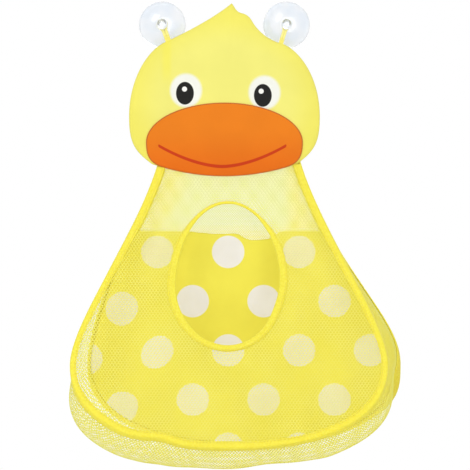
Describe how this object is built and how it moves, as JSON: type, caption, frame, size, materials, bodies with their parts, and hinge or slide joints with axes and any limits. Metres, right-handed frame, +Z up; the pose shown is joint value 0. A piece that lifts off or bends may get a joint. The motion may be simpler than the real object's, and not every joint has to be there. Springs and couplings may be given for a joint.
{
  "type": "bath toy organizer",
  "caption": "Duck-shaped net bag for bath toys with a padded fabric head, a bound hand opening and clear suction cups on elastic loops for hanging on a wall.",
  "frame": {"origin": "on the wall plane, midway between the centres of the two suction cups", "axes": "+Z up along the wall, +X to the right seen from the front, the front faces -Y and the wall is the plane Y = 0"},
  "size_m": [0.3188, 0.1002, 0.4485],
  "materials": {
    "head_fabric": "matte woven cloth, pale lemon yellow",
    "wadding": "soft white wadding",
    "beak_fabric": "matte woven cloth, orange",
    "net": "open knitted net, yellow",
    "tape": "folded binding tape, bright yellow",
    "dot_fabric": "matte woven cloth, yellow with white dots",
    "elastic": "narrow elastic tape, pale yellow",
    "clear_pvc": "clear soft plastic, glossy"
  },
  "bodies": {
    "head": {"head_front_panel": "head_fabric", "head_back_panel": "head_fabric", "head_padding": "wadding", "beak_patch": "beak_fabric"},
    "bag": {"front_net": "net", "opening_binding": "tape", "gusset_net": "net", "front_seam_binding": "tape", "back_seam_binding": "tape", "back_dot_panel": "dot_fabric", "back_top_net": "net"},
    "left_loop": {"left_hanging_loop": "elastic"},
    "right_loop": {"right_hanging_loop": "elastic"},
    "left_cup": {"left_suction_cup": "clear_pvc"},
    "right_cup": {"right_suction_cup": "clear_pvc"}
  },
  "joints": [
    {"name": "bag_swing", "type": "hinge", "parent": "head", "child": "bag", "pos_m": [0, -0.01225, -0.147], "axis": [1, 0, 0], "range_deg": [-35, 0]},
    {"name": "left_loop_swing", "type": "hinge", "parent": "head", "child": "left_loop", "pos_m": [-0.0555, -0.0111, -0.01222], "axis": [1, 0, 0], "range_deg": [-30, 90]},
    {"name": "right_loop_swing", "type": "hinge", "parent": "head", "child": "right_loop", "pos_m": [0.0555, -0.0111, -0.01514], "axis": [1, 0, 0], "range_deg": [-30, 90]},
    {"name": "left_cup_turn", "type": "hinge", "parent": "left_loop", "child": "left_cup", "pos_m": [-0.06, -0.0111, 0], "axis": [0, 1, 0], "continuous": true},
    {"name": "right_cup_turn", "type": "hinge", "parent": "right_loop", "child": "right_cup", "pos_m": [0.06, -0.0111, 0], "axis": [0, 1, 0], "continuous": true}
  ]
}
